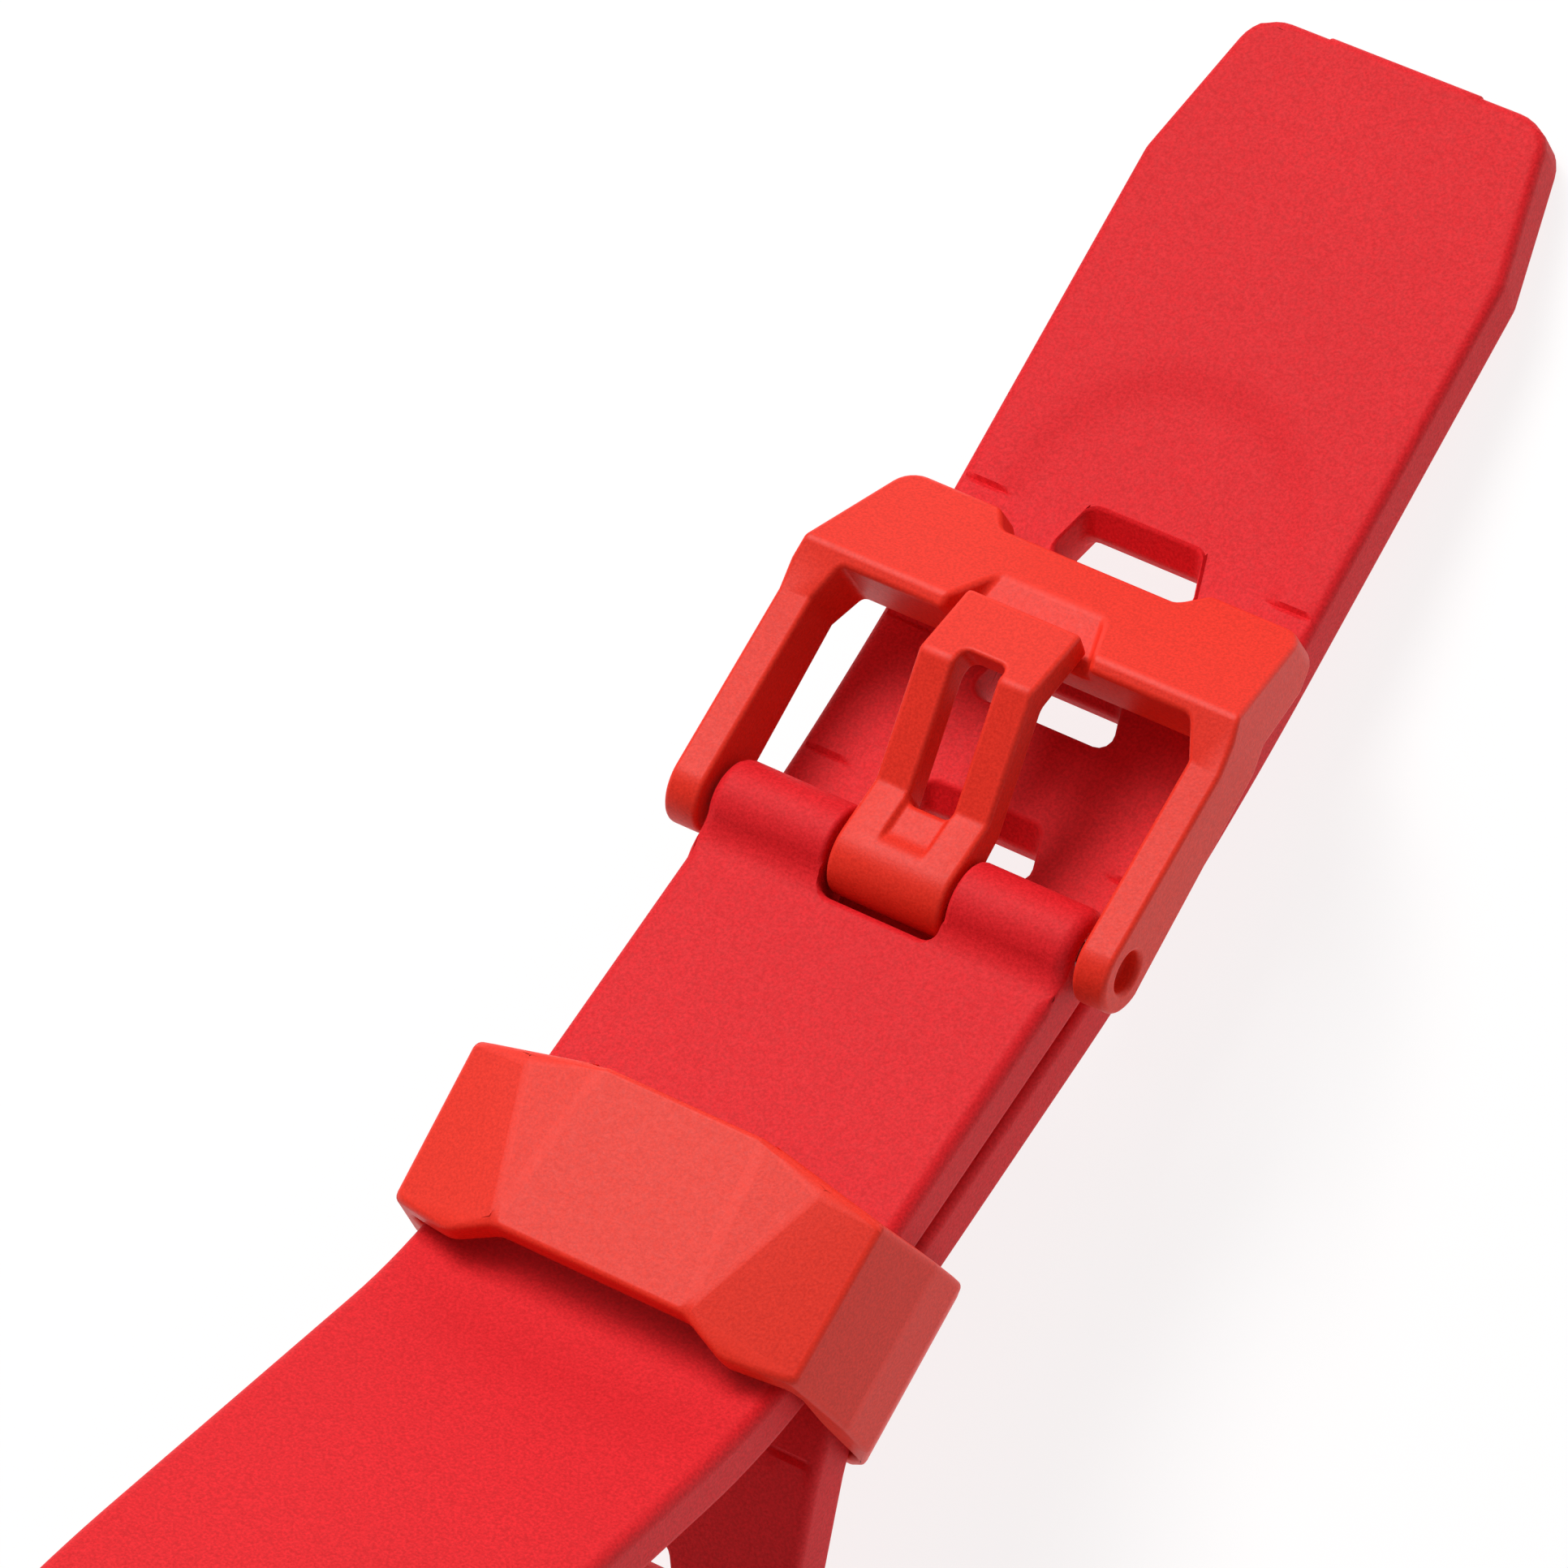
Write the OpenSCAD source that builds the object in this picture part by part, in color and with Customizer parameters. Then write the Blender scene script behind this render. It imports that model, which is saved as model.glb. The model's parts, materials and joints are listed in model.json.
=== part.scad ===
// Two-piece moulded watch strap with its pin buckle, tang, keeper loop and spring bars.
// Millimetres, +Z up. +X runs across the strap, +Y towards the free tip of the long half.
// The strap lies in an arch on a flat surface at Z = 0, and the origin is the middle of its
// footprint box.

/* [Strap] */
// Width of both strap halves, which is also the gap between the lugs it fits
strap_w = 22; // [20:1:24]
// Thickness of the moulded strap
strap_t = 3.4; // [2.8:0.1:3.6]
// Free gap between the two halves where one lies on the other
lay_gap = 0.35; // [0.3:0.1:0.8]
// Slope of the straight tip of the long half against the surface, in degrees
tip_pitch = 8; // [6:1:10]
// Length of the straight tip, up to the first bend
tip_len = 32.3; // [30:0.1:36]
// Width of the cut-off end of the tip
tip_end_w = 18; // [14:1:20]
// Length over which the tip narrows
tip_taper_len = 9.4; // [6:0.1:12]

/* [Adjustment slots] */
// Number of slots in the long half
slot_count = 8; // [5:1:8]
// Distance from one slot to the next
slot_pitch = 8.6; // [8:0.1:9]
// Distance from the end of the tip to the middle of the first slot
first_slot = 30.9; // [29:0.1:32]
// Length of a slot along the strap
slot_len = 2.2; // [2:0.1:3.2]
// Width of a slot at its end nearer the tip
slot_w_far = 7.3; // [7:0.1:8]
// Width of a slot at its other end
slot_w_near = 8.6; // [7.5:0.1:9.5]

/* [Buckle] */
// Distance from the strap edge to the inside of a buckle arm
arm_gap = 0.45; // [0.3:0.05:0.6]
// Thickness of a buckle arm across the strap
arm_t = 2; // [1.6:0.1:2.4]
// Outer radius of the ears, the knuckles and the tang barrel
knuckle_r = 2.3; // [2.1:0.05:2.5]
// Width of the tang
tang_w = 6.9; // [6:0.1:7]
// Width of the window through the tang
tang_window_w = 2.6; // [2:0.1:2.8]
// Gap on each side of the tang between the two knuckles
tang_gap = 0.28; // [0.2:0.02:0.5]

/* [Keeper] */
// Length of the keeper along the strap
keeper_len = 9.2; // [8:0.1:10]
// Widest half width of the keeper
keeper_half_w = 13.45; // [13.35:0.05:14]

/* [Spring bars] */
// Outer radius of a spring bar tube
bar_r = 0.9; // [0.85:0.01:0.95]
// Radius of a spring bar tip
bar_tip_r = 0.4; // [0.35:0.01:0.45]
// Free length of a tip beyond the side of the strap
bar_tip_out = 1; // [0.8:0.1:1.1]

/* [Hidden] */
$fn = 48;

strap_red = [0.86, 0.16, 0.19];
buckle_red = [0.93, 0.24, 0.2];
steel = [0.75, 0.76, 0.78];

// A station on a strap is [y, z, heading]: a point of its middle surface and the slope there in
// degrees, where a positive heading climbs towards -Y. A stretch is [length, turn in degrees].
function step(q, s) = s[1] == 0
    ? [q[0] - s[0] * cos(q[2]), q[1] + s[0] * sin(q[2]), q[2]]
    : let (r = s[0] * 180 / (PI * s[1]), h = q[2] + s[1])
      [q[0] - r * (sin(h) - sin(q[2])), q[1] - r * (cos(h) - cos(q[2])), h];
function walk(q, path, n) = n == 0 ? q : step(walk(q, path, n - 1), path[n - 1]);
// The station at distance s along a path
function along(q, path, s, i = 0) = i == len(path) || s <= path[i][0]
    ? step(q, [s, i == len(path) ? 0 : path[i][1] * s / path[i][0]])
    : along(step(q, path[i]), path, s - path[i][0], i + 1);
// The stations that draw a path: the ends of each straight, and a step for every degree of a bend
function stations(q, path, i = 0) = i == len(path) ? [q] : concat(
    let (n = max(1, ceil(abs(path[i][1])))) [for (k = [0 : n - 1]) step(q, path[i] * k / n)],
    stations(step(q, path[i]), path, i + 1)
);
// A station moved off the middle surface by d
function lifted(q, d) = [q[0] + d * sin(q[2]), q[1] + d * cos(q[2]), q[2]];
// A point given along and square to the straight tip, in the part's frame
function from_tip(y, z) = [
    y * cos(tip_pitch) + z * sin(tip_pitch), z * cos(tip_pitch) - y * sin(tip_pitch)
];

half_w = strap_w / 2;
// Running clearance on radius between a spring bar and what turns on it
run_fit = 0.05;
bore_r = bar_r + run_fit;
case_knuckle_r = 2.1;

// Long half, from its tip: straight tip, gentle climb, straight stretch under the buckle, crest
// inside the keeper, dive to the surface, and a last bend that brings its end level
climb = 12;
crest_turn = -54;
dive_slope = -(tip_pitch + climb + crest_turn);
level_r = 40;
hole_start = concat(from_tip(0, strap_t / 2), tip_pitch);
hole_head = [[tip_len, 0], [24.2, climb], [14.6, 0], [12.2, crest_turn]];
crest_end = walk(hole_start, hole_head, len(hole_head));
dive_len = (crest_end[1] - level_r * (1 - cos(dive_slope)) - case_knuckle_r) / sin(dive_slope);
hole_path = concat(hole_head, [[dive_len, 0], [level_r * PI * dive_slope / 180, dive_slope], [5, 0]]);
hole_end = walk(hole_start, hole_path, len(hole_path));

// Buckle half: it lies on the straight stretch of the long half and then climbs away from it
lay_start = lifted(walk(hole_start, hole_path, 2), strap_t + lay_gap);
pin_lead = [4.4, 6];
buckle_start = step(lay_start, [-pin_lead[0], -pin_lead[1]]);
buckle_path = [pin_lead, [19.4, 0], [13, 24], [20, 0], [16, -12], [5, 0]];
buckle_end = walk(buckle_start, buckle_path, len(buckle_path));

// The buckle pin sits above the middle surface of the buckle half. Its place is given along and
// square to the straight tip, and then in the part's frame.
pin_y = -52;
pin_z = 8.5;
pin = from_tip(pin_y, pin_z);

// Middle of the footprint box along Y
y_mid = (from_tip(0, strap_t)[0] + min(hole_end[0], buckle_end[0]) - case_knuckle_r) / 2;

// Puts a shape drawn with its tip at Y = 0 into the part's frame
module placed() {
    translate([0, -y_mid, 0]) children();
}

// Puts a shape drawn along and square to the straight tip into the part's frame
module in_tip_frame() {
    placed() rotate([-tip_pitch, 0, 0]) children();
}

module at_station(q) {
    translate([0, q[0], q[1]]) rotate([-q[2], 0, 0]) children();
}

// A solid as wide as w, drawn as a side view in Y and Z
module side_extrude(w) {
    rotate([90, 0, 90]) linear_extrude(w, center = true) children();
}

// A rod across the strap
module cross_rod(r, w) {
    rotate([0, 90, 0]) cylinder(r = r, h = w, center = true);
}

// A strap as wide as strap_w whose middle surface follows a path, up to where its faces meet the
// knuckle at the end of the path
module strap_sheet(q, path) {
    sunk = 0.02;
    inside = sqrt(case_knuckle_r * case_knuckle_r - strap_t * strap_t / 4) - sunk;
    last = len(path) - 1;
    line = stations(q, [for (i = [0 : last]) path[i] - [i == last ? inside : 0, 0]]);
    top = [for (p = line) lifted(p, strap_t / 2)];
    bottom = [for (i = [len(line) - 1 : -1 : 0]) lifted(line[i], -strap_t / 2)];
    side_extrude(strap_w) polygon([for (p = concat(top, bottom)) [p[0], p[1]]]);
}

// Plan that the tip is trimmed to, drawn with its end at Y = 0: a straight taper to a rounded end
module tip_plan() {
    corner_r = 2.3;
    // The plan runs past the sides of the strap by this much, so that it trims the tip only
    clear = 1;
    slant = (strap_w - tip_end_w) / 2 / tip_taper_len;
    shoulder = -tip_taper_len - clear / slant;
    hull() {
        for (x = [-1, 1]) {
            translate([x * (tip_end_w / 2 - 0.8 * corner_r), -corner_r]) circle(corner_r, $fn = 64);
        }
        polygon([
            [half_w + clear, shoulder], [half_w + clear, -2 * tip_len],
            [-half_w - clear, -2 * tip_len], [-half_w - clear, shoulder]
        ]);
    }
}

// One adjustment slot: narrower towards the tip, with a ramp on each face on that side
module slot_cut() {
    ramp_len = 1.2;
    ramp_depth = 1.4;
    ramp_widen = 0.15;
    edge = slot_len / 2;
    back = edge - 0.2;
    translate([0, 0, -strap_t]) linear_extrude(2 * strap_t) slot_plan(edge, 0);
    for (face = [0, 1]) {
        mirror([0, 0, face]) intersection() {
            linear_extrude(strap_t) slot_plan(edge + ramp_len, ramp_widen);
            side_extrude(strap_w) polygon([
                [back, strap_t / 2 - ramp_depth], [edge, strap_t / 2 - ramp_depth],
                [edge + ramp_len, strap_t / 2], [edge + ramp_len, strap_t], [back, strap_t]
            ]);
        }
    }
}

// Plan of a slot whose far edge is at Y = far. Its sides keep their slant when it is lengthened,
// and each can be moved out by widen.
module slot_plan(far, widen) {
    slant = (slot_w_near - slot_w_far) / 2 / slot_len;
    near_half = slot_w_near / 2 + widen;
    far_half = near_half - slant * (far + slot_len / 2);
    polygon([
        [-far_half, far], [far_half, far], [near_half, -slot_len / 2], [-near_half, -slot_len / 2]
    ]);
}

module strap_hole_half() {
    color(strap_red) placed() difference() {
        union() {
            strap_sheet(hole_start, hole_path);
            at_station(hole_end) cross_rod(case_knuckle_r, strap_w);
        }
        at_station(hole_start) translate([0, 0, -strap_t]) linear_extrude(2 * strap_t) difference() {
            translate([-strap_w, -tip_len]) square([2 * strap_w, tip_len + 1]);
            tip_plan();
        }
        for (i = [0 : slot_count - 1]) {
            at_station(along(hole_start, hole_path, first_slot + i * slot_pitch)) slot_cut();
        }
        at_station(hole_end) cross_rod(bore_r, strap_w + 1);
    }
}

module strap_buckle_half() {
    gap_w = tang_w + 2 * tang_gap;
    gap_back = 3;
    gap_front = 4;
    cut_h = 12;
    color(strap_red) placed() difference() {
        union() {
            strap_sheet(buckle_start, buckle_path);
            translate([0, pin[0], pin[1]]) cross_rod(knuckle_r, strap_w);
            at_station(buckle_end) cross_rod(case_knuckle_r, strap_w);
        }
        translate([0, pin[0], pin[1]]) rotate([-tip_pitch, 0, 0])
            translate([-gap_w / 2, -gap_back, -cut_h / 2]) cube([gap_w, gap_back + gap_front, cut_h]);
        translate([0, pin[0], pin[1]]) cross_rod(bore_r, strap_w + 1);
        at_station(buckle_end) cross_rod(bore_r, strap_w + 1);
    }
}

// A thin slice across the straps, from points given for one side as [x, z]
module slice(half) {
    rotate([90, 0, 0]) linear_extrude(0.01) both_sides(half);
}

// A polygon that is the same on both sides of the middle, from its points on one side
module both_sides(half) {
    polygon(concat(half, [for (i = [len(half) - 1 : -1 : 0]) [-half[i][0], half[i][1]]]));
}

// The keeper: a faceted ring. Its crown is set forward of its sides, so that it stands out at the
// far edge and leaves a step at the near edge, and it rises away from the buckle.
module keeper_loop() {
    far_y = -70.7;
    near_y = far_y - keeper_len;
    crown_y = near_y + 0.65;
    step_y = near_y - 0.5;
    lean = 5;
    side_top = 17.3;
    past = 3;
    low = [[keeper_half_w - 0.1, 11.2], [keeper_half_w, 7.8], [11.6, 3.4], [10.6, 2.2]];
    inner = [[5.2, 16.8], [9.4, 16.2], [11.3, 15.5], [11.65, 14.6], [11.65, 4.8], [10.8, 3.8]];
    color(buckle_red) in_tip_frame() difference() {
        hull() {
            translate([0, far_y, side_top]) rotate([lean, 0, 0]) translate([0, 0, -side_top])
                slice(concat([[8.9, 18.1], [12.3, side_top]], low));
            translate([0, far_y + 1.33, 0]) slice([[4.9, 18.35], [4.9, 18.25]]);
            translate([0, near_y + 0.2, 0]) slice(concat([[12.1, 17.05]], low));
            translate([0, step_y, 0]) slice([[8.3, 18], [8.3, 17.9]]);
            translate([0, crown_y, 0]) slice([[5.8, 18.85], [5.8, 18.75]]);
        }
        // Step at the near edge
        translate([0, 0, 12]) linear_extrude(10) polygon([
            [-8.6, near_y - 1], [8.6, near_y - 1], [8.3, step_y],
            [5.8, crown_y], [-5.8, crown_y], [-8.3, step_y]
        ]);
        translate([0, far_y + past, 0]) rotate([90, 0, 0]) linear_extrude(keeper_len + 2 * past)
            both_sides(inner);
    }
}

arm_in = half_w + arm_gap;
arm_out = arm_in + arm_t;

// Side view of the buckle frame without its ears: the arms' flat tops, the ridge that the arms rise
// to, and the crossbar that slopes down from the ridge to the long half
module frame_side() {
    polygon([
        [pin_y, pin_z + knuckle_r], [-41.2, 10.4], [-38.2, 11.3], [-31, 6.14], [-31, 4],
        [-34, 4.2], [-37.9, 6.6], [-51.4, pin_z + 0.1 - knuckle_r], [pin_y, pin_z - knuckle_r]
    ]);
}

// Plan of the frame: rounded far corners, sides that widen to the arms, and the cut-back middle of
// the far edge
module frame_plan() {
    corner_r = 1.6;
    edge_r = 0.4;
    difference() {
        hull() {
            for (x = [-1, 1]) {
                translate([x * (12.1 - corner_r), -31.6 - corner_r]) circle(corner_r);
                translate([x * (arm_out - edge_r), -39.8]) circle(edge_r);
                translate([x * (arm_out - edge_r), -60]) circle(edge_r);
            }
        }
        polygon([[-6.9, -31], [6.9, -31], [5.3, -32.9], [-5.3, -32.9]]);
    }
}

// Plan of the opening between the arms, with its far corners cut off
module window_plan() {
    both_sides([[10.6, -39], [arm_in, -41], [arm_in, -60]]);
}

module buckle_frame() {
    // Depth of the bearing for a bar tip in each ear, and the tool hole that goes on from it
    bearing = 0.9;
    hole_r = 1.15;
    hole_len = 4;
    cut_h = 20;
    color(buckle_red) in_tip_frame() difference() {
        union() {
            intersection() {
                side_extrude(2 * arm_out + 1) frame_side();
                linear_extrude(cut_h) frame_plan();
            }
            for (x = [-1, 1]) {
                translate([x * (arm_in + arm_t / 2), pin_y, pin_z]) cross_rod(knuckle_r, arm_t);
            }
        }
        linear_extrude(cut_h) window_plan();
        // Seat for the tip of the tang
        translate([0, 0, 9.45]) linear_extrude(4)
            polygon([[-3.5, -35.3], [3.5, -35.3], [4.7, -40.5], [-4.7, -40.5]]);
        // Bearings for the bar tips, and the wider holes that a tool reaches them through
        translate([0, pin_y, pin_z]) {
            cross_rod(bar_tip_r + run_fit, 2 * arm_out + 1);
            for (x = [-1, 1]) {
                translate([x * (arm_in + bearing + hole_len / 2), 0, 0]) cross_rod(hole_r, hole_len);
            }
        }
    }
}

// Side view of the tang without its barrel: dip, arch over the window and flat tip
module tang_side() {
    polygon([
        [-52.4, 10.7], [-48.35, 10.15], [-41.8, 13.3], [-37.5, 11.5],
        [-37.8, 9.7], [-41.9, 11.2], [-48.2, 8.1], [-52.4, 8.2]
    ]);
}

module buckle_tang() {
    window_near = -48.8;
    window_len = 7.85;
    color(buckle_red) in_tip_frame() difference() {
        union() {
            translate([0, pin_y, pin_z]) cross_rod(knuckle_r, tang_w);
            side_extrude(tang_w) tang_side();
        }
        translate([-tang_window_w / 2, window_near, 5]) cube([tang_window_w, window_len, 10]);
        translate([0, pin_y, pin_z]) cross_rod(bore_r, tang_w + 1);
    }
}

// Inner sizes of a spring bar: the wall of the tube, the lip that holds each plunger in, the head
// of a plunger, and the play between a head and the lip
tube_wall = 0.2;
lip = 0.5;
lip_r = 0.64;
head_fit = 0.04;
shoulder_fit = 0.06;
plunger_stub = 4;
play = 0.05;

// A spring bar drawn on the X axis. Its tube reaches half_len each way.
module bar_tube(half_len) {
    inner_r = bar_r - tube_wall;
    color(steel) rotate([0, 90, 0]) rotate_extrude() polygon([
        [lip_r, -half_len], [bar_r, -half_len], [bar_r, half_len], [lip_r, half_len],
        [lip_r, half_len - lip], [inner_r, half_len - lip],
        [inner_r, lip - half_len], [lip_r, lip - half_len]
    ]);
}

// The plunger of one side: a head that slides in the tube, a shoulder that ends at shoulder_x,
// and a thinner tip that ends at tip_x
module bar_plunger(half_len, shoulder_x, tip_x) {
    head_r = bar_r - tube_wall - head_fit;
    head_end = half_len - lip - play;
    shoulder_r = lip_r - shoulder_fit;
    chamfer = 0.1;
    color(steel) rotate([0, 90, 0]) rotate_extrude() polygon([
        [0, head_end - plunger_stub], [head_r, head_end - plunger_stub], [head_r, head_end],
        [shoulder_r, head_end], [shoulder_r, shoulder_x], [bar_tip_r, shoulder_x],
        [bar_tip_r, tip_x - chamfer], [bar_tip_r - chamfer, tip_x], [0, tip_x]
    ]);
}

// The coil between the two plunger heads, a wire swept along a helix
module bar_spring(half_len) {
    wire_r = 0.11;
    end_gap = 0.03;
    coil_r = bar_r - tube_wall - play - wire_r;
    reach = half_len - lip - play - plunger_stub - wire_r - end_gap;
    turns = 12;
    rings = turns * 12;
    sides = 6;
    function wire_point(i, j) =
        let (a = 360 * turns * i / rings, b = 360 * j / sides, r = coil_r + wire_r * cos(b))
        [-reach + 2 * reach * i / rings + wire_r * sin(b), r * cos(a), r * sin(a)];
    points = [for (i = [0 : rings]) for (j = [0 : sides - 1]) wire_point(i, j)];
    walls = [
        for (i = [0 : rings - 1]) for (j = [0 : sides - 1])
            let (a = i * sides + j, b = i * sides + (j + 1) % sides)
            each [[a, a + sides, b], [b, a + sides, b + sides]]
    ];
    start_cap = [for (j = [0 : sides - 1]) j];
    end_cap = [for (j = [sides - 1 : -1 : 0]) rings * sides + j];
    color(steel) polyhedron(points, concat(walls, [start_cap, end_cap]), convexity = 4);
}

// How far each bar's tube, shoulders and tips reach from the middle of the strap
buckle_tube_half = half_w - 0.3;
buckle_shoulder_x = arm_in - 0.15;
buckle_tip_x = arm_in + 0.85;
case_tube_half = half_w - 0.6;
case_shoulder_x = half_w + 0.05;
case_tip_x = half_w + bar_tip_out;

module at_pin() {
    placed() translate([0, pin[0], pin[1]]) children();
}

module at_upper_bar() {
    placed() translate([0, buckle_end[0], buckle_end[1]]) children();
}

module at_lower_bar() {
    placed() translate([0, hole_end[0], hole_end[1]]) children();
}

strap_hole_half();
strap_buckle_half();
keeper_loop();
buckle_frame();
buckle_tang();
at_pin() bar_tube(buckle_tube_half);  // buckle_bar_tube
at_pin() bar_spring(buckle_tube_half);  // buckle_bar_spring
at_pin() mirror([1, 0, 0]) bar_plunger(buckle_tube_half, buckle_shoulder_x, buckle_tip_x);  // buckle_bar_plunger_left
at_pin() bar_plunger(buckle_tube_half, buckle_shoulder_x, buckle_tip_x);  // buckle_bar_plunger_right
at_upper_bar() bar_tube(case_tube_half);  // upper_bar_tube
at_upper_bar() bar_spring(case_tube_half);  // upper_bar_spring
at_upper_bar() mirror([1, 0, 0]) bar_plunger(case_tube_half, case_shoulder_x, case_tip_x);  // upper_bar_plunger_left
at_upper_bar() bar_plunger(case_tube_half, case_shoulder_x, case_tip_x);  // upper_bar_plunger_right
at_lower_bar() bar_tube(case_tube_half);  // lower_bar_tube
at_lower_bar() bar_spring(case_tube_half);  // lower_bar_spring
at_lower_bar() mirror([1, 0, 0]) bar_plunger(case_tube_half, case_shoulder_x, case_tip_x);  // lower_bar_plunger_left
at_lower_bar() bar_plunger(case_tube_half, case_shoulder_x, case_tip_x);  // lower_bar_plunger_right
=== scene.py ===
"""Looks for the moulded watch strap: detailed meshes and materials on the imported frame.

Shapes are built in millimetres and scaled to metres when they are finished. Headings, paths and
the tip frame are the ones the part is built on. A station on a strap is (y, z, heading), and a
positive heading climbs towards -Y. A path is a list of (length, turn) stretches. The tip frame has
its Y along the straight tip of the long half, and its Z square to it, from its lower face up.
"""

import json
import math

import bmesh
import bpy
from mathutils import Matrix, Vector


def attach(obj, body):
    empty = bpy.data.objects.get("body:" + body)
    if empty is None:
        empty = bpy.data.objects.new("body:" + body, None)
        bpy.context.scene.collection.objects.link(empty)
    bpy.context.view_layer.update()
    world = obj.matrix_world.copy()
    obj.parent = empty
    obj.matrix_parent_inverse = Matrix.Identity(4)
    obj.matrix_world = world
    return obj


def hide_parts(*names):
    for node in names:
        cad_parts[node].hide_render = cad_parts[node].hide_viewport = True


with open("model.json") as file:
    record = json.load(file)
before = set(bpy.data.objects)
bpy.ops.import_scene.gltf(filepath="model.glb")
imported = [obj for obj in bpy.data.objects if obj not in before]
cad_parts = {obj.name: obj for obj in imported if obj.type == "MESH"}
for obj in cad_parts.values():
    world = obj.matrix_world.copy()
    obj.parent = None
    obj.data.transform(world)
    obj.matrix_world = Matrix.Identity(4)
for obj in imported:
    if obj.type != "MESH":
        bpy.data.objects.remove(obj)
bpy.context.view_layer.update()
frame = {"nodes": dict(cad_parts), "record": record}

# ---------------------------------------------------------------- strap paths

HALF_W = 11.0
THICK = 3.4
LAY_GAP = 0.35
TIP_PITCH = 8.0
KNUCKLE_R = 2.3
CASE_KNUCKLE_R = 2.1
CASE_KNUCKLE_ROUND = 0.45
BORE_R = 0.96
PIN = PIN_Y, PIN_Z = -52.0, 8.5


def sind(a):
    return math.sin(math.radians(a))


def cosd(a):
    return math.cos(math.radians(a))


def step(q, length, turn):
    """The station at the end of a stretch that starts at q."""
    y, z, h = q
    if turn == 0:
        return (y - length * cosd(h), z + length * sind(h), h)
    r = length / math.radians(turn)
    e = h + turn
    return (y - r * (sind(e) - sind(h)), z - r * (cosd(e) - cosd(h)), e)


def lifted(q, d):
    """The point at distance d above the middle surface."""
    return (q[0] + d * sind(q[2]), q[1] + d * cosd(q[2]))


def along(q, path, s):
    """The station at distance s along a path."""
    for length, turn in path:
        if s <= length:
            return step(q, s, turn * s / length)
        q = step(q, length, turn)
        s -= length
    return step(q, s, 0)


def end_of(q, path):
    return along(q, path, sum(p[0] for p in path))


def from_tip(y, z):
    """A point of the tip frame, in the part's own Y and Z."""
    return (y * cosd(TIP_PITCH) + z * sind(TIP_PITCH), z * cosd(TIP_PITCH) - y * sind(TIP_PITCH))


# The long half: the tip, the arch, and a dive that levels out with its knuckle on the surface
HOLE_START = (*from_tip(0, THICK / 2), TIP_PITCH)
HOLE_PATH = [(32.3, 0), (24.2, 12), (14.6, 0), (12.2, -54)]
DIVE = 34.0
DIVE_R = 40
crest = end_of(HOLE_START, HOLE_PATH)
dive_len = (crest[1] - DIVE_R * (1 - cosd(DIVE)) - CASE_KNUCKLE_R) / sind(DIVE)
HOLE_PATH += [(dive_len, 0), (DIVE_R * math.radians(DIVE), DIVE), (5, 0)]
HOLE_LEN = sum(p[0] for p in HOLE_PATH)

# The short half: it comes to lie on the long half where that half's first bend ends, and later
# climbs away
LEAD_IN = (4.4, 6)
BUCKLE_PATH = [LEAD_IN, (19.4, 0), (13, 24), (20, 0), (16, -12), (5, 0)]
under_lay = end_of(HOLE_START, HOLE_PATH[:2])
lay = (*lifted(under_lay, THICK + LAY_GAP), under_lay[2])
BUCKLE_START = step(lay, -LEAD_IN[0], -LEAD_IN[1])

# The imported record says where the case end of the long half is, which centres the whole part
mounts = {m["name"]: m["pos_m"] for m in frame["record"]["mounts"]}
Y_MID = end_of(HOLE_START, HOLE_PATH)[0] - mounts["long_half_lug_pin_left"][1] * 1000

# ---------------------------------------------------------------- outlines


def mirrored(half):
    """A whole outline from one half of it, given from end to end."""
    return half + [(-x, y) for x, y in reversed(half)]


def trapezoid(half_a, y_a, half_b, y_b):
    """An outline with its parallel sides at y_a and y_b, and their half lengths."""
    return [(-half_a, y_a), (half_a, y_a), (half_b, y_b), (-half_b, y_b)]


def arc(centre, r, start, turn, n):
    """Points of an arc from one angle through a turn, in degrees."""
    return [
        (centre[0] + r * cosd(start + turn * k / n), centre[1] + r * sind(start + turn * k / n))
        for k in range(n + 1)
    ]


def quarter(r):
    """The setbacks of a rounded edge from the end face and from the side, end face first."""
    turns = [k / 4 * math.pi / 2 for k in range(5)]
    return [(r * (1 - math.cos(a)), r * (1 - math.sin(a))) for a in turns]


def rounded(points, radius, segments=4, only=None):
    """A flat outline with its corners rounded, or only the corners with the given numbers."""
    out = []
    n = len(points)
    for i in range(n):
        a, p, b = (Vector(points[(i + k) % n]) for k in (-1, 0, 1))
        if only is not None and i not in only:
            out.append(tuple(p))
            continue
        u, v = (a - p).normalized(), (b - p).normalized()
        half = u.angle(v) / 2
        reach = min(radius / math.tan(half), 0.45 * (a - p).length, 0.45 * (b - p).length)
        r = reach * math.tan(half)
        centre = p + (u + v).normalized() * (r / math.sin(half))
        start, stop = p + u * reach - centre, p + v * reach - centre
        turn = start.angle_signed(stop)
        for k in range(segments + 1):
            d = start.copy()
            d.rotate(Matrix.Rotation(-turn * k / segments, 2))
            out.append(tuple(centre + d))
    return out


def inset(points, d):
    """A convex outline moved in by d."""
    out = []
    n = len(points)
    for i in range(n):
        a, p, b = (Vector(points[(i + k) % n]) for k in (-1, 0, 1))
        u, v = (p - a).normalized(), (b - p).normalized()
        na, nb = Vector((-u.y, u.x)), Vector((-v.y, v.x))
        m = (na + nb).normalized()
        out.append(tuple(p + m * (d / max(0.3, m.dot(na)))))
    return out


def path_line(q, path, spacing=1.2):
    """Stations all along a path, no further apart than the spacing."""
    out = []
    for length, turn in path:
        n = max(1, math.ceil(length / spacing))
        out += [step(q, length * k / n, turn * k / n) for k in range(n)]
        q = step(q, length, turn)
    return out + [q]


# ---------------------------------------------------------------- mesh tools

X, Y = (1, 0, 0), (0, 1, 0)
# Edges that turn by more than this stay sharp in the shading
SHARP_TURN = 35


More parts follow.
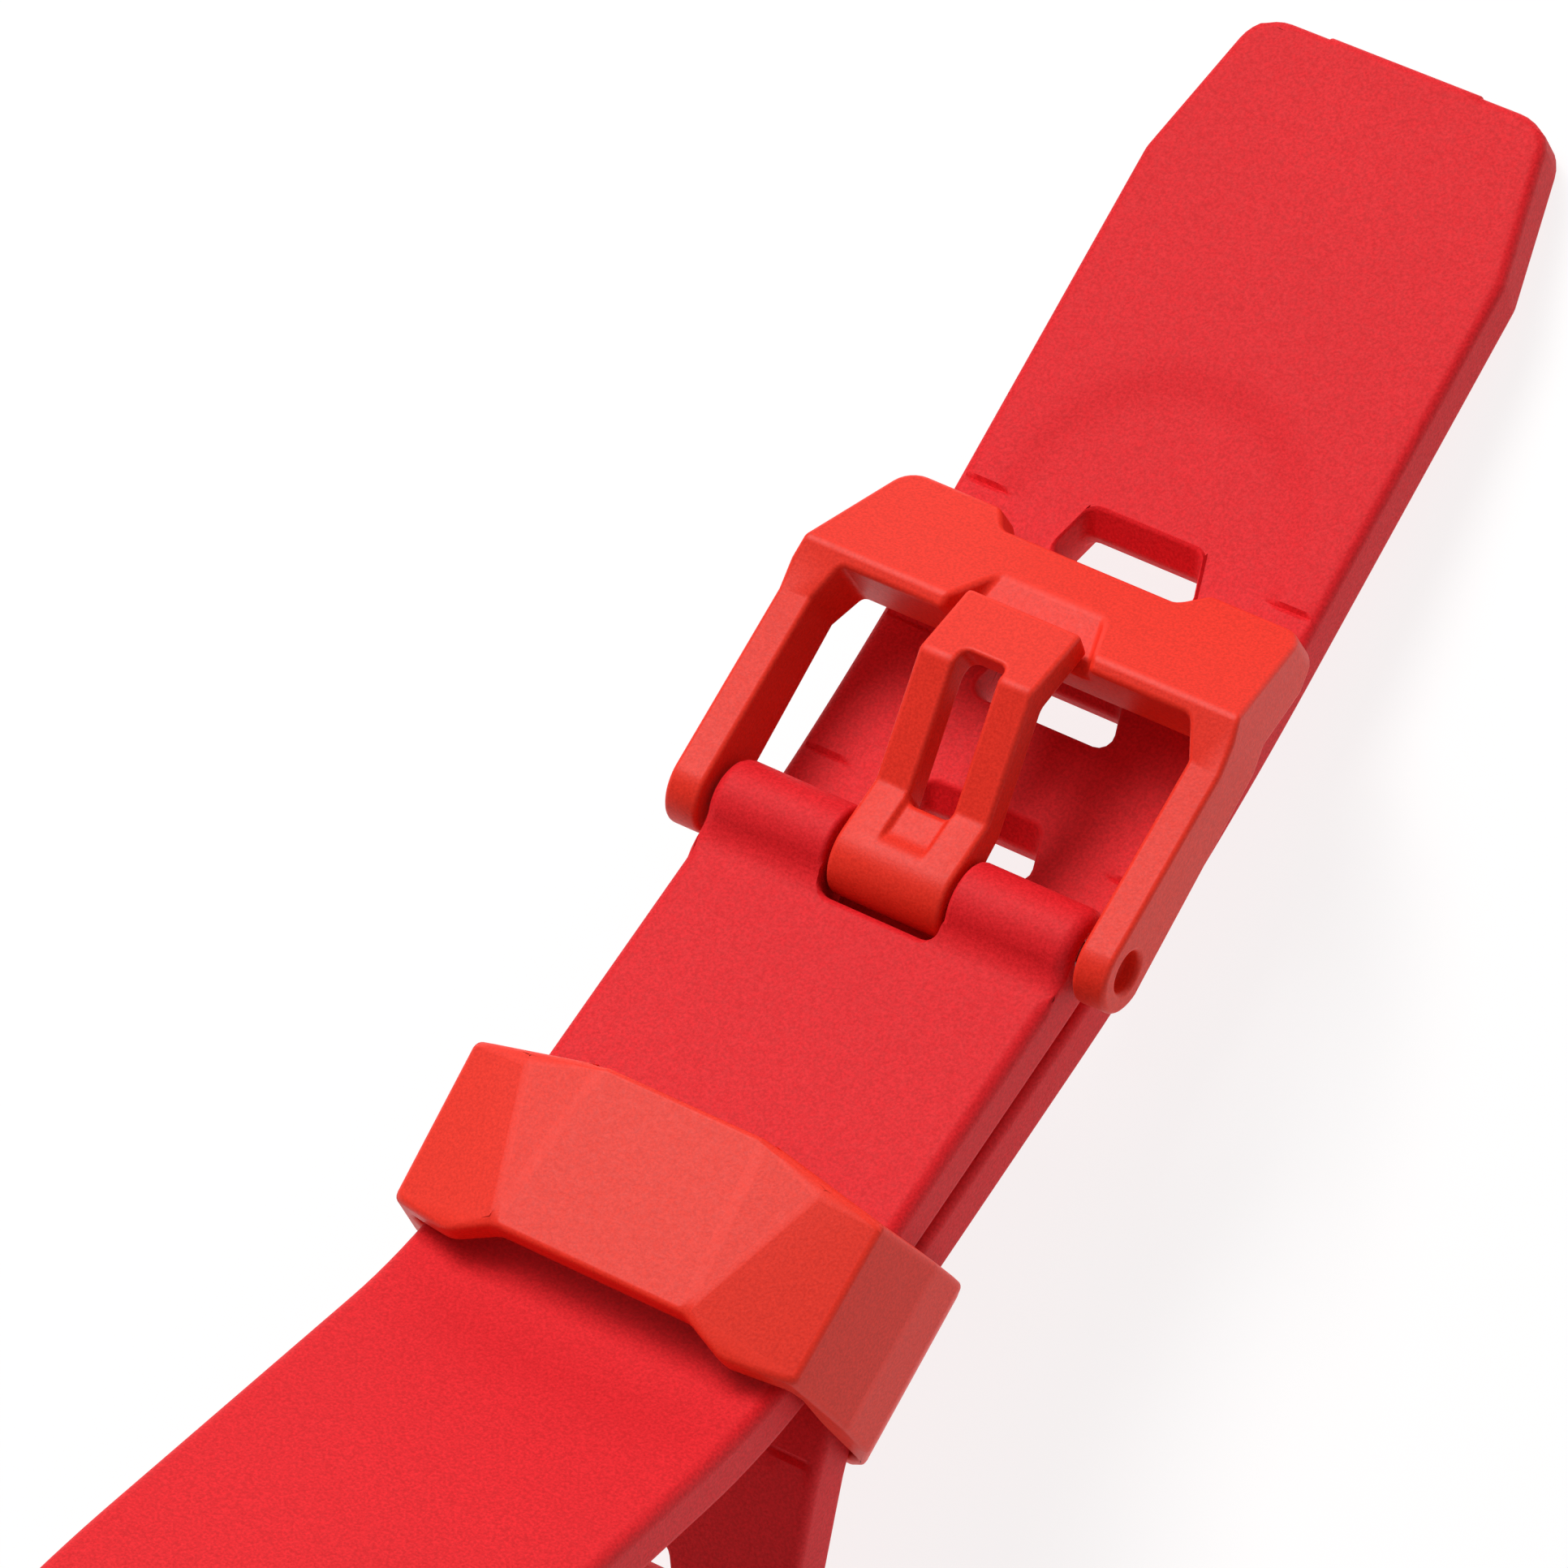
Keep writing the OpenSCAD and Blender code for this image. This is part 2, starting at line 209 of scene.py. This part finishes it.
def new_object(name, bm):
    mesh = bpy.data.meshes.new(name)
    bm.to_mesh(mesh)
    bm.free()
    obj = bpy.data.objects.new(name, mesh)
    bpy.context.scene.collection.objects.link(obj)
    return obj


def loft(name, rings):
    """A closed solid through rings of equally many points, with flat caps."""
    bm = bmesh.new()
    rows = [[bm.verts.new(p) for p in ring] for ring in rings]
    n = len(rows[0])
    for a, b in zip(rows, rows[1:]):
        for i in range(n):
            bm.faces.new((a[i], a[(i + 1) % n], b[(i + 1) % n], b[i]))
    bm.faces.new(rows[0][::-1])
    bm.faces.new(rows[-1])
    bmesh.ops.recalc_face_normals(bm, faces=bm.faces)
    return new_object(name, bm)


def across(name, outline, x0, x1):
    """A side view, given in Y and Z, made solid from x0 to x1."""
    return loft(name, [[(x, y, z) for y, z in outline] for x in (x0, x1)])


def upright(name, plan, z0, z1):
    """A plan, given in X and Y, made solid from z0 to z1."""
    return loft(name, [[(x, y, z) for x, y in plan] for z in (z0, z1)])


def rod(name, r, half_len, at=(0, 0), mid=0, round_r=0.0, sides=64):
    """A rod along X around mid, with its axis at the given Y and Z and its ends rounded."""
    backs = quarter(round_r) if round_r else [(0, 0)]
    turns = [2 * math.pi * j / sides for j in range(sides)]
    rings = []
    for side, dx, dr in [(-1, *b) for b in backs] + [(1, *b) for b in reversed(backs)]:
        x, rr = mid + side * (half_len - dx), r - dr
        rings.append([(x, at[0] + rr * math.cos(t), at[1] + rr * math.sin(t)) for t in turns])
    return loft(name, rings)


def hull(name, points):
    """The convex solid around some points, with its flat faces joined up."""
    bm = bmesh.new()
    for p in points:
        bm.verts.new(p)
    bmesh.ops.convex_hull(bm, input=bm.verts)
    loose = [v for v in bm.verts if not v.link_faces]
    bmesh.ops.delete(bm, geom=loose, context="VERTS")
    bmesh.ops.dissolve_limit(bm, angle_limit=math.radians(1), verts=bm.verts, edges=bm.edges)
    bmesh.ops.recalc_face_normals(bm, faces=bm.faces)
    return new_object(name, bm)


def baked(obj):
    """Applies an object's modifiers."""
    dg = bpy.context.evaluated_depsgraph_get()
    mesh = bpy.data.meshes.new_from_object(obj.evaluated_get(dg))
    obj.modifiers.clear()
    obj.data = mesh
    return obj


def combine(obj, operation, *others):
    """Adds, cuts or intersects other solids, which are used up."""
    for other in others:
        m = obj.modifiers.new("cut", "BOOLEAN")
        m.operation = operation
        m.solver = "EXACT"
        m.object = other
        baked(obj)
        bpy.data.objects.remove(other)
    return obj


def cut(obj, *others):
    """Cuts other solids out of an object."""
    return combine(obj, "DIFFERENCE", *others)


def tidy(obj, dist=0.01):
    """Joins the points closer than dist that the cuts leave, because a bevel cracks on them."""
    bm = bmesh.new()
    bm.from_mesh(obj.data)
    bmesh.ops.remove_doubles(bm, verts=bm.verts, dist=dist)
    bmesh.ops.dissolve_degenerate(bm, edges=bm.edges, dist=dist)
    bm.to_mesh(obj.data)
    bm.free()
    return obj


def soften(obj, width, segments=3, angle=30, skip=()):
    """Rounds edges sharper than angle, apart from the edge numbers in skip.

    The rounding is marked with the second material.
    """
    while len(obj.data.materials) < 2:
        obj.data.materials.append(None)
    bm = bmesh.new()
    bm.from_mesh(obj.data)
    turn = [e.calc_face_angle(0) if len(e.link_faces) == 2 else 0 for e in bm.edges]
    bm.free()
    skip = set(skip)
    weight = obj.data.attributes.new("bevel_weight_edge", "FLOAT", "EDGE")
    for i, t in enumerate(turn):
        weight.data[i].value = 1.0 if t > math.radians(angle) and i not in skip else 0.0
    m = obj.modifiers.new("round", "BEVEL")
    m.material = 1
    m.width = width
    m.segments = segments
    m.limit_method = "WEIGHT"
    m.use_clamp_overlap = False
    m.miter_outer = "MITER_ARC"
    return baked(obj)


def sliced(obj, planes, pick=lambda face: True):
    """Cuts the picked faces into cells at (axis, distance) planes, so that they can bend."""
    bm = bmesh.new()
    bm.from_mesh(obj.data)
    for axis, at in planes:
        faces = [f for f in bm.faces if pick(f)]
        edges = dict.fromkeys(e for f in faces for e in f.edges)
        points = dict.fromkeys(v for f in faces for v in f.verts)
        bmesh.ops.bisect_plane(
            bm, geom=[*faces, *edges, *points], plane_co=Vector(axis) * at, plane_no=axis, dist=1e-4
        )
    bm.to_mesh(obj.data)
    bm.free()
    return obj


def ease(t):
    """A smooth step from 0 to 1."""
    t = min(1, max(0, t))
    return t * t * (3 - 2 * t)


def moved(obj, change):
    """Moves every vertex to change(x, y, z)."""
    for v in obj.data.vertices:
        v.co = change(*v.co)
    return obj


def in_tip_frame(obj):
    """Moves an object that is drawn in the tip frame to its place in the part."""

    def place(x, y, z):
        py, pz = from_tip(y, z)
        return x, py - Y_MID, pz

    return moved(obj, place)


def finish_piece(obj, body, node, material):
    """Scales a finished piece to metres, shades it and puts it on its body.

    The faces of rounded edges are marked in a colour attribute, which the material paints paler,
    partly as wear and partly as a painted highlight.
    """
    obj.data.transform(Matrix.Scale(0.001, 4))
    wear_and_highlight = obj.data.attributes.new("wear_and_highlight", "FLOAT_COLOR", "CORNER")
    for p in obj.data.polygons:
        for i in p.loop_indices:
            wear_and_highlight.data[i].color = (p.material_index, p.material_index, p.material_index, 1)
        p.material_index = 0
        p.use_smooth = True
    obj.data.materials.clear()
    obj.data.materials.append(material)
    obj.data.set_sharp_from_angle(angle=math.radians(SHARP_TURN))
    m = obj.modifiers.new("even", "WEIGHTED_NORMAL")
    m.keep_sharp = True
    baked(obj)
    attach(obj, body)
    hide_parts(node)
    return obj


# ---------------------------------------------------------------- materials

WHITE = (1, 1, 1, 1)


def feed(tree, node, **inputs):
    """Sets a node's inputs, or links them when they are sockets. An underscore is a space."""
    for name, value in inputs.items():
        socket = node.inputs[name.replace("_", " ")]
        if isinstance(value, bpy.types.NodeSocket):
            tree.links.new(value, socket)
        else:
            socket.default_value = value
    return node


def new_node(tree, kind, **inputs):
    return feed(tree, tree.nodes.new("ShaderNode" + kind), **inputs)


def new_material(name):
    """A material, its node tree and its shader."""
    m = bpy.data.materials.new(name)
    m.use_nodes = True
    return m, m.node_tree, m.node_tree.nodes["Principled BSDF"]


def two_tone(tree, fac, dark, light):
    """The output of a ramp between two colours."""
    ramp = new_node(tree, "ValToRGB", Fac=fac)
    for element, colour in zip(ramp.color_ramp.elements, (dark, light)):
        element.color = (*colour, 1)
    return ramp.outputs["Color"]


def moulded(name, colour, deep, roughness, grain, grain_depth, specular):
    """Moulded polymer: fine spark-eroded grain, faint flow marks, and paler rounded edges, partly
    wear and partly a painted highlight.

    colour is that of the surface, and deep that of the pits of the grain.
    """
    m, t, bsdf = new_material(name)
    place = new_node(t, "TexCoord").outputs["Object"]

    def noise(scale, detail, rough=0.55):
        x = new_node(t, "TexNoise", Vector=place, Scale=scale, Detail=detail, Roughness=rough)
        return x.outputs["Fac"]

    def scaled(source, lo, hi, a=0.3, b=0.7):
        x = new_node(t, "MapRange", Value=source, From_Min=a, From_Max=b, To_Min=lo, To_Max=hi)
        return x.outputs["Result"]

    def mixed(fac, a, b):
        x = t.nodes.new("ShaderNodeMix")
        x.data_type = "RGBA"
        a, b = ((*c, 1) if isinstance(c, tuple) else c for c in (a, b))
        return feed(t, x, Factor=fac, A=a, B=b).outputs["Result"]

    fine, speck, cloud = noise(grain, 4, 0.6), noise(grain * 0.45, 2), noise(90, 3)
    flow_marks = tuple(0.94 * c for c in colour)
    # The paler colour of the rounded edges: partly wear, partly a painted highlight along the edges
    worn_and_highlit = tuple(min(1, c * 1.1 + 0.008) for c in colour)
    base = mixed(scaled(cloud, 0, 1), flow_marks, colour)
    base = mixed(scaled(fine, 0.0, 0.9, 0.36, 0.64), base, deep)
    rub_and_highlight = t.nodes.new("ShaderNodeMath")
    rub_and_highlight.operation = "MULTIPLY"
    edge = new_node(t, "Attribute")
    edge.attribute_name = "wear_and_highlight"
    t.links.new(edge.outputs["Fac"], rub_and_highlight.inputs[0])
    t.links.new(scaled(cloud, 0.05, 0.4), rub_and_highlight.inputs[1])
    base = mixed(rub_and_highlight.outputs["Value"], base, worn_and_highlit)
    low = new_node(t, "Bump", Strength=0.35, Distance=0.00006, Height=cloud)
    bump = new_node(
        t, "Bump", Strength=0.6, Distance=grain_depth, Height=fine, Normal=low.outputs["Normal"]
    )
    feed(
        t,
        bsdf,
        Base_Color=base,
        Roughness=scaled(speck, roughness - 0.03, roughness + 0.03),
        Specular_IOR_Level=specular,
        Normal=bump.outputs["Normal"],
    )
    return m


def turned_steel(name):
    """Turned stainless steel: fine rings round the bar and uneven polish."""
    m, t, bsdf = new_material(name)
    place = new_node(t, "TexCoord").outputs["Object"]
    stretch = new_node(t, "Mapping", Vector=place, Scale=(9000, 300, 300))
    rings = new_node(t, "TexNoise", Vector=stretch.outputs["Vector"], Scale=1, Detail=3)
    rings = rings.outputs["Fac"]
    blot = new_node(t, "TexNoise", Vector=place, Scale=900).outputs["Fac"]
    rough = new_node(t, "MapRange", Value=rings, To_Min=0.2, To_Max=0.42)
    bump = new_node(t, "Bump", Strength=0.4, Distance=0.00001, Height=rings)
    feed(
        t,
        bsdf,
        Base_Color=two_tone(t, blot, (0.52, 0.52, 0.54), (0.72, 0.73, 0.75)),
        Metallic=1,
        Roughness=rough.outputs["Result"],
        Normal=bump.outputs["Normal"],
    )
    return m


strap_mat = moulded(
    "crimson_polyurethane",
    colour=(0.81, 0.013, 0.020),
    deep=(0.56, 0.005, 0.009),
    roughness=0.62,
    grain=6200,
    grain_depth=0.000032,
    specular=0.22,
)
buckle_mat = moulded(
    "orange_red_polymer",
    colour=(0.88, 0.033, 0.014),
    deep=(0.66, 0.019, 0.007),
    roughness=0.48,
    grain=6800,
    grain_depth=0.00002,
    specular=0.25,
)
steel_mat = turned_steel("turned_steel")

# ---------------------------------------------------------------- the long half

SLOT_COUNT = 8
SLOT_PITCH = 8.6
# From the tip to the rim of the first slot, and from a rim's far end to the slot's throat
RIM_FAR = 28.7
THROAT_IN = 1.15


def case_knuckle(at):
    return rod("case_knuckle", CASE_KNUCKLE_R, HALF_W, at=at, round_r=CASE_KNUCKLE_ROUND)


def slab(name, plan, r):
    """A flat slab with edges rounded to radius r. The plan runs anticlockwise."""
    rings = [
        [(x, y, dz - THICK / 2) for x, y in inset(plan, side_in)] for dz, side_in in quarter(r)
    ]
    rings += [[(x, y, -z) for x, y, z in ring] for ring in reversed(rings)]
    return loft(name, rings)


def slot_cutter(far):
    """One slot: a funnel on each face that is longest towards the tip, and a thin lip between."""
    near_half, slant = 4.26, 0.315
    rim_r, throat_r = 0.8, 0.9
    face, past = THICK / 2, 0.3
    throat = (far - THROAT_IN, far - 3.25)

    def ring(y_far, y_near, grow, z, r=rim_r):
        near = near_half + grow
        plan = trapezoid(near, y_near, near - slant * (y_far - y_near), y_far)
        return [(x, y, z) for x, y in rounded(plan, r, 4)]

    return loft(
        "slot",
        [
            ring(far + 0.25, far - 3.75, 0.3, -face - past),
            ring(far - 0.1, far - 3.6, 0.25, -face),
            ring(*throat, 0, -0.7, throat_r),
            ring(*throat, 0, 0.25, throat_r),
            ring(far, far - 3.5, 0.25, face),
            ring(far + 0.25, far - 3.56, 0.31, face + past),
        ],
    )


def long_half_cells():
    """Where the long half is cut into cells: fine at the dish and the slots, even elsewhere."""
    run = [0.75, 1.5] + [1.8 * k for k in range(1, 10)] + [0.6 * k for k in range(29, 47)]
    for i in range(SLOT_COUNT + 1):
        rim = RIM_FAR + SLOT_PITCH * i
        run += [rim + c for c in (-0.5, 0.9, THROAT_IN, 1.4, 2.3, 4.0, 5.1, 6.2, 7.2)]
    last, spacing = run[-1], 1.2
    run += [last + spacing * k for k in range(1, int((HOLE_LEN - last) / spacing))]
    sides = (0.9, 1.8, 2.7, 3.6, 4.55, 4.65, 5.4, 6.2, 7, 7.6, 8.2, 8.8, 9.4, 10)
    return [(Y, -s) for s in run] + [(X, side * x) for x in sides for side in (-1, 1)]


def relief(x, y, z):
    """The step of the gate at the tip, the shallow dish, and the creases beside each slot."""
    gate_half, gate_len, gate_step = 4.6, 0.7, 0.12
    dish_half, dish_len, dish_depth = 9.3, 9.8, 0.3
    crease_in, crease_out, crease_depth = 7.4, 10.9, 0.2
    s = -y
    if s < gate_len and abs(x) > gate_half:
        y -= gate_step
    if z > THICK / 2 - 0.02:
        reach = math.hypot(x / dish_half, min(0, s - RIM_FAR) / dish_len)
        z -= dish_depth * ease((1 - reach) / 0.3) * ease((RIM_FAR + 6 - s) / 6)
        k = round((s - RIM_FAR - THROAT_IN) / SLOT_PITCH)
        off = s - RIM_FAR - THROAT_IN - SLOT_PITCH * k
        if 0 <= k < SLOT_COUNT and abs(off) < 0.1:
            z -= crease_depth * ease((abs(x) - crease_in) / 0.8) * ease((crease_out - abs(x)) / 0.6)
    return x, y, z


def bend(x, y, z):
    """Carries a point of the flat long half onto its path."""
    q = along(HOLE_START, HOLE_PATH, -y) if y < 0 else step(HOLE_START, -y, 0)
    py, pz = lifted(q, z)
    return x, py - Y_MID, pz


def long_half():
    """A flat slab that is cut, softened and pressed, and then bent along its path."""
    tip_half, shoulder, corner_r, edge_r = 8.95, 9.4, 2.4, 0.6
    tip = rounded(mirrored([(HALF_W, -HOLE_LEN), (HALF_W, -shoulder), (tip_half, 0)]), corner_r, 7)
    # The case end stays square, because it ends in the knuckle
    tip = [p for p in tip if p[1] > 20 - HOLE_LEN]
    obj = slab("long_half", [(HALF_W, -HOLE_LEN)] + tip + [(-HALF_W, -HOLE_LEN)], edge_r)
    sliced(obj, long_half_cells())
    combine(obj, "UNION", case_knuckle((-HOLE_LEN, 0)))
    cut(obj, *[slot_cutter(-(RIM_FAR + SLOT_PITCH * i)) for i in range(SLOT_COUNT)])
    cut(obj, rod("bore", BORE_R, HALF_W + 1, at=(-HOLE_LEN, 0)))
    tidy(obj, 0.002)
    soften(obj, 0.2, angle=32)
    moved(moved(obj, relief), bend)
    return finish_piece(obj, "long_half", "strap_hole_half", strap_mat)


# ---------------------------------------------------------------- the short half

# The gap between the knuckles: half its width, its depth behind the pin, and its corners
GAP_HALF, GAP_BACK, GAP_TURN_R = 3.73, 2.85, 0.9


def knuckle_blend(pin, q, r):
    """Side view of the knuckle, and the hollow of radius r behind it that runs into the top face.

    Gives the outline from the underside round the front and over to the top face, and how far
    along the top face from the station q it ends.
    """
    base = Vector(lifted(q, THICK / 2))
    run = Vector((-cosd(q[2]), sind(q[2])))
    up = Vector((sind(q[2]), cosd(q[2])))
    sunk = (base - Vector(pin)).dot(up)
    reach = math.sqrt((KNUCKLE_R + r) ** 2 - (r + sunk) ** 2)
    foot = (Vector(pin) - base).dot(run)
    hollow = base + run * (foot + reach) + up * r
    back = math.degrees(math.atan2(hollow[1] - pin[1], hollow[0] - pin[0]))
    over = arc(pin, KNUCKLE_R, -60, back + 60, 30)
    start = back - 180
    stop = -90 - q[2]
    return over + arc(hollow, r, start, stop - start, 8)[1:], foot + reach


def short_half_blank():
    """The strap and its pin knuckle as one side view, with soft edges along both sides."""
    soft_r, hollow_r = 0.8, 2.2
    pin = from_tip(PIN_Y, PIN_Z)
    lead_end = step(BUCKLE_START, *LEAD_IN)
    front, reach = knuckle_blend(pin, lead_end, hollow_r)
    reach += 0.3
    rest = [(BUCKLE_PATH[1][0] - reach, 0)] + BUCKLE_PATH[2:]
    over = path_line(step(lead_end, reach, 0), rest)
    under = path_line(BUCKLE_START, BUCKLE_PATH)
    pin = Vector(pin)
    backs = quarter(soft_r)
    rings = []
    for side, dx, d in [(-1, *b) for b in backs] + [(1, *b) for b in reversed(backs)]:
        arms = [Vector(p) - pin for p in front]
        ring = [pin + arm * (1 - d / max(KNUCKLE_R, arm.length)) for arm in arms]
        ring += [lifted(q, THICK / 2 - d) for q in over]
        ring += [lifted(q, d - THICK / 2) for q in reversed(under)]
        rings.append([(side * (HALF_W - dx), y, z) for y, z in ring])
    return loft("short_half", rings)


def gap_cutter():
    """Opens the gap to the front. It lies square to the tip, and its back corners are rounded."""
    plan = rounded(trapezoid(GAP_HALF, -GAP_BACK, GAP_HALF, 5), GAP_TURN_R, 5, (0, 1))
    faces = [[(x, *from_tip(PIN_Y + y, PIN_Z + z)) for x, y in plan] for z in (-6, 6)]
    return loft("gap", faces)


def gap_edge_cutter():
    """Rounds the back edge of the gap. The rounding thins out where the gap's corners turn."""
    edge_z = 9.62
    # Distance into the corner, and the radius of the rounding there
    ends = [(0, 0.6), (0.3, 0.56), (0.55, 0.45), (0.75, 0.28), (0.87, 0.1)]
    rings = []
    for side in (-1, 1):
        for off, r in reversed(ends) if side < 0 else ends:
            edge_y = PIN_Y - GAP_BACK + GAP_TURN_R - math.sqrt(GAP_TURN_R**2 - off**2)
            outline = arc((edge_y - r, edge_z - r), r, -6, 102, 8)
            outline += [(edge_y - r, edge_z + 1), (edge_y + 1, edge_z + 1)]
            outline.append((edge_y + 1, edge_z - r))
            x = side * (GAP_HALF - GAP_TURN_R + off)
            rings.append([(x, *from_tip(y, z)) for y, z in outline])
    return loft("shave", rings)


def short_half():
    """The strap half with the knuckles that carry the buckle."""
    obj = short_half_blank()
    pin, case_end = from_tip(PIN_Y, PIN_Z), end_of(BUCKLE_START, BUCKLE_PATH)[:2]
    combine(obj, "UNION", case_knuckle(case_end))
    cut(obj, gap_cutter(), gap_edge_cutter())
    cut(obj, *[rod("bore", BORE_R, HALF_W + 1, at=at) for at in (pin, case_end)])
    tidy(obj)
    # The edge that is rounded with a cutter is left out of the bevel
    back_edge = Vector(from_tip(PIN_Y - GAP_BACK, 9.6))

    def is_rounded(v):
        return abs(v.co.x) < GAP_HALF + 0.05 and (v.co.yz - back_edge).length < 1.2

    points = obj.data.vertices
    done = [e.index for e in obj.data.edges if all(is_rounded(points[i]) for i in e.vertices)]
    soften(obj, 0.3, angle=34, skip=done)
    moved(obj, lambda x, y, z: (x, y - Y_MID, z))
    return finish_piece(obj, "short_half", "strap_buckle_half", strap_mat)


# ---------------------------------------------------------------- keeper, frame and tang

# The inner and outer faces of the buckle's arms
ARM_IN, ARM_OUT = 11.45, 13.45


def keeper():
    """A faceted ring. Its crown is set forward of its sides and rises away from the buckle."""
    far, near = -70.7, -79.7
    side_top, lean = 17.3, 0.087
    low = [(13.3, 11.2), (13.45, 7.8), (11.6, 3.4), (10.6, 2.2)]
    half = [(8.9, far, 18.1), (12.3, far, side_top), (4.9, far + 1.33, 18.35)]
    half += [(8.3, near - 0.7, 18.0), (12.1, near - 0.1, 17.05), (5.8, near + 0.45, 18.85)]
    half += [(x, far + lean * (side_top - z), z) for x, z in low] + [(x, near, z) for x, z in low]
    obj = hull("keeper", [(side * x, y, z) for x, y, z in half for side in (-1, 1)])
    set_back = mirrored([(-8.6, near - 1), (-8.3, near - 0.7), (-5.8, near + 0.45)])
    cut(obj, upright("notch", set_back, 12, 22))
    hole = [(5.2, 16.8), (9.4, 16.2), (11.3, 15.5), (11.65, 14.6), (11.65, 4.8), (10.8, 3.8)]
    ends = (far + 3, near - 2)
    cut(obj, loft("hole", [[(x, y, z) for x, z in mirrored(hole)] for y in ends]))
    tidy(obj)
    soften(obj, 0.35, segments=4, angle=4)
    return finish_piece(in_tip_frame(obj), "keeper", "keeper_loop", buckle_mat)


def buckle():
    """Two arms with ears and the crossbar, drawn as one side view and opened by the window."""
    top = 20
    view = [(-51.4, 6.28), (-37.9, 6.6), (-34, 4.2), (-31, 4.0), (-31, 6.14), (-38.2, 11.3)]
    view += [(-41.2, 10.4)] + arc(PIN, KNUCKLE_R, 92, 168, 28)
    bar = across("frame", view, -ARM_OUT, ARM_OUT)
    # Only the two corners of the crossbar are rounded
    plan = rounded(mirrored([(12.1, -31.6), (15, -48.6), (15, -60)]), 1.3, 6, (0, 5))
    combine(bar, "INTERSECT", upright("plan", plan, 0, top))
    cut(bar, upright("window", mirrored([(10.6, -39), (ARM_IN, -41), (ARM_IN, -60)]), 0, top))
    cut(bar, upright("notch", mirrored([(6.9, -31), (5.3, -32.9)]), 0, top))

    def seat(z, far_half, near_half):
        return [(x, y, z) for x, y in trapezoid(far_half, -35.3, near_half, -40.5)]

    cut(bar, loft("seat", [seat(9.45, 3.1, 4.3), seat(12, 3.9, 5.2)]))
    for side in (-1, 1):
        cut(bar, rod("hole", 1.15, 2, at=PIN, mid=side * (ARM_IN + 2.9), sides=48))
    cut(bar, rod("bearing", 0.46, 20, at=PIN, sides=32))
    tidy(bar)
    soften(bar, 0.3, segments=4, angle=24)
    return finish_piece(in_tip_frame(bar), "frame", "buckle_frame", buckle_mat)


def tang():
    """Barrel, dipped base with a sunk pad, arched legs round the window, and a flat tip."""
    half, leg = 3.45, 1.3
    window_near, window_far = -48.8, -40.95
    dip_near, dip_far = Vector((-51.52, 10.75)), Vector((-48.35, 10.14))
    barrel = arc(PIN, KNUCKLE_R, 78, 270, 48)
    view = [(-48.2, 8.1), (-41.9, 11.2), (-37.8, 9.7), (-37.5, 11.5), (-41.8, 13.3)]
    view.append(tuple(dip_far))
    # Only the bend at the far end of the dip, which comes last, is rounded
    view = rounded(barrel[-1:] + view + barrel[:1], 0.6, 3, (len(view),))
    obj = across("tang", view[1:-1] + barrel, -half, half)
    window = rounded(trapezoid(leg, window_near, leg, window_far), 0.45, 5)
    cut(obj, upright("window", window, 5, 15), rod("bore", BORE_R, 5, at=PIN, sides=48))
    tidy(obj)
    soften(obj, 0.3, segments=4, angle=24)

    # The pad is pressed into a finer grid on the top of the dip
    def on_dip(face):
        return face.normal.z > 0.2 and face.calc_center_median().y < -47.9

    sides = (0.8, 1.02, 1.14, 1.22, 1.3, 1.38, 1.46, 1.58)
    lines = [(X, side * x) for x in sides for side in (-1, 1)]
    sliced(obj, lines + [(Y, dip_near.x + 0.2 * k) for k in range(1, 15)], on_dip)

    def press(x, y, z):
        t = (y - dip_near.x) / (dip_far.x - dip_near.x)
        top = dip_near.y + t * (dip_far.y - dip_near.y)
        if 0 < t < 1.2 and z > top - 0.45:
            z -= 0.3 * ease((1.46 - abs(x)) / 0.32) * ease(t / 0.3) * ease((1.2 - t) / 0.2)
        return x, y, z

    moved(obj, press)
    return finish_piece(in_tip_frame(obj), "tang", "buckle_tang", buckle_mat)


long_half()
short_half()
keeper()
buckle()
tang()

for name, node in frame["nodes"].items():
    if "_bar_" in name:
        node.data.materials.clear()
        node.data.materials.append(steel_mat)

# ---------------------------------------------------------------- floor, light and camera


def floor():
    """A pale floor that gives off most of its own brightness, so that shadows stay faint."""
    bm = bmesh.new()
    bmesh.ops.create_grid(bm, x_segments=24, y_segments=24, size=3.0)
    obj = new_object("floor", bm)
    m, t, bsdf = new_material("pale_floor")
    cloud = new_node(t, "TexNoise", Scale=3).outputs["Fac"]
    feed(
        t,
        bsdf,
        Base_Color=two_tone(t, cloud, (0.15, 0.15, 0.15), (0.17, 0.17, 0.17)),
        Roughness=0.9,
        Emission_Color=WHITE,
        Emission_Strength=0.84,
    )
    obj.data.materials.append(m)


def lamp(name, place, size, power):
    """A round area lamp aimed at the part."""
    aim = (0, 0, 0.02)
    data = bpy.data.lights.new(name, "AREA")
    data.shape = "DISK"
    data.size = size
    data.energy = power
    obj = bpy.data.objects.new(name, data)
    obj.location = place
    obj.rotation_mode = "QUATERNION"
    obj.rotation_quaternion = (Vector(aim) - Vector(place)).to_track_quat("-Z", "Y")
    bpy.context.scene.collection.objects.link(obj)


def studio_world():
    world = bpy.data.worlds.new("studio")
    world.use_nodes = True
    feed(world.node_tree, world.node_tree.nodes["Background"], Color=WHITE, Strength=0.3)
    bpy.context.scene.world = world


def camera():
    """The camera that a perspective fit to the photograph gave."""
    data = bpy.data.cameras.new("camera")
    data.sensor_width = 36
    data.lens = 236.5
    data.clip_start, data.clip_end = 0.01, 10
    obj = bpy.data.objects.new("camera", data)
    obj.location = (0.2160, -0.0318, 0.4924)
    obj.rotation_euler = tuple(math.radians(a) for a in (15.615, 20.555, 27.679))
    bpy.context.scene.collection.objects.link(obj)
    bpy.context.scene.camera = obj


floor()
lamp("key", (-0.36, 0.56, 0.72), 0.5, 6.4)
lamp("fill", (-0.40, 0.30, 0.86), 0.4, 2.4)
studio_world()
camera()
bpy.context.scene.view_settings.view_transform = "Standard"
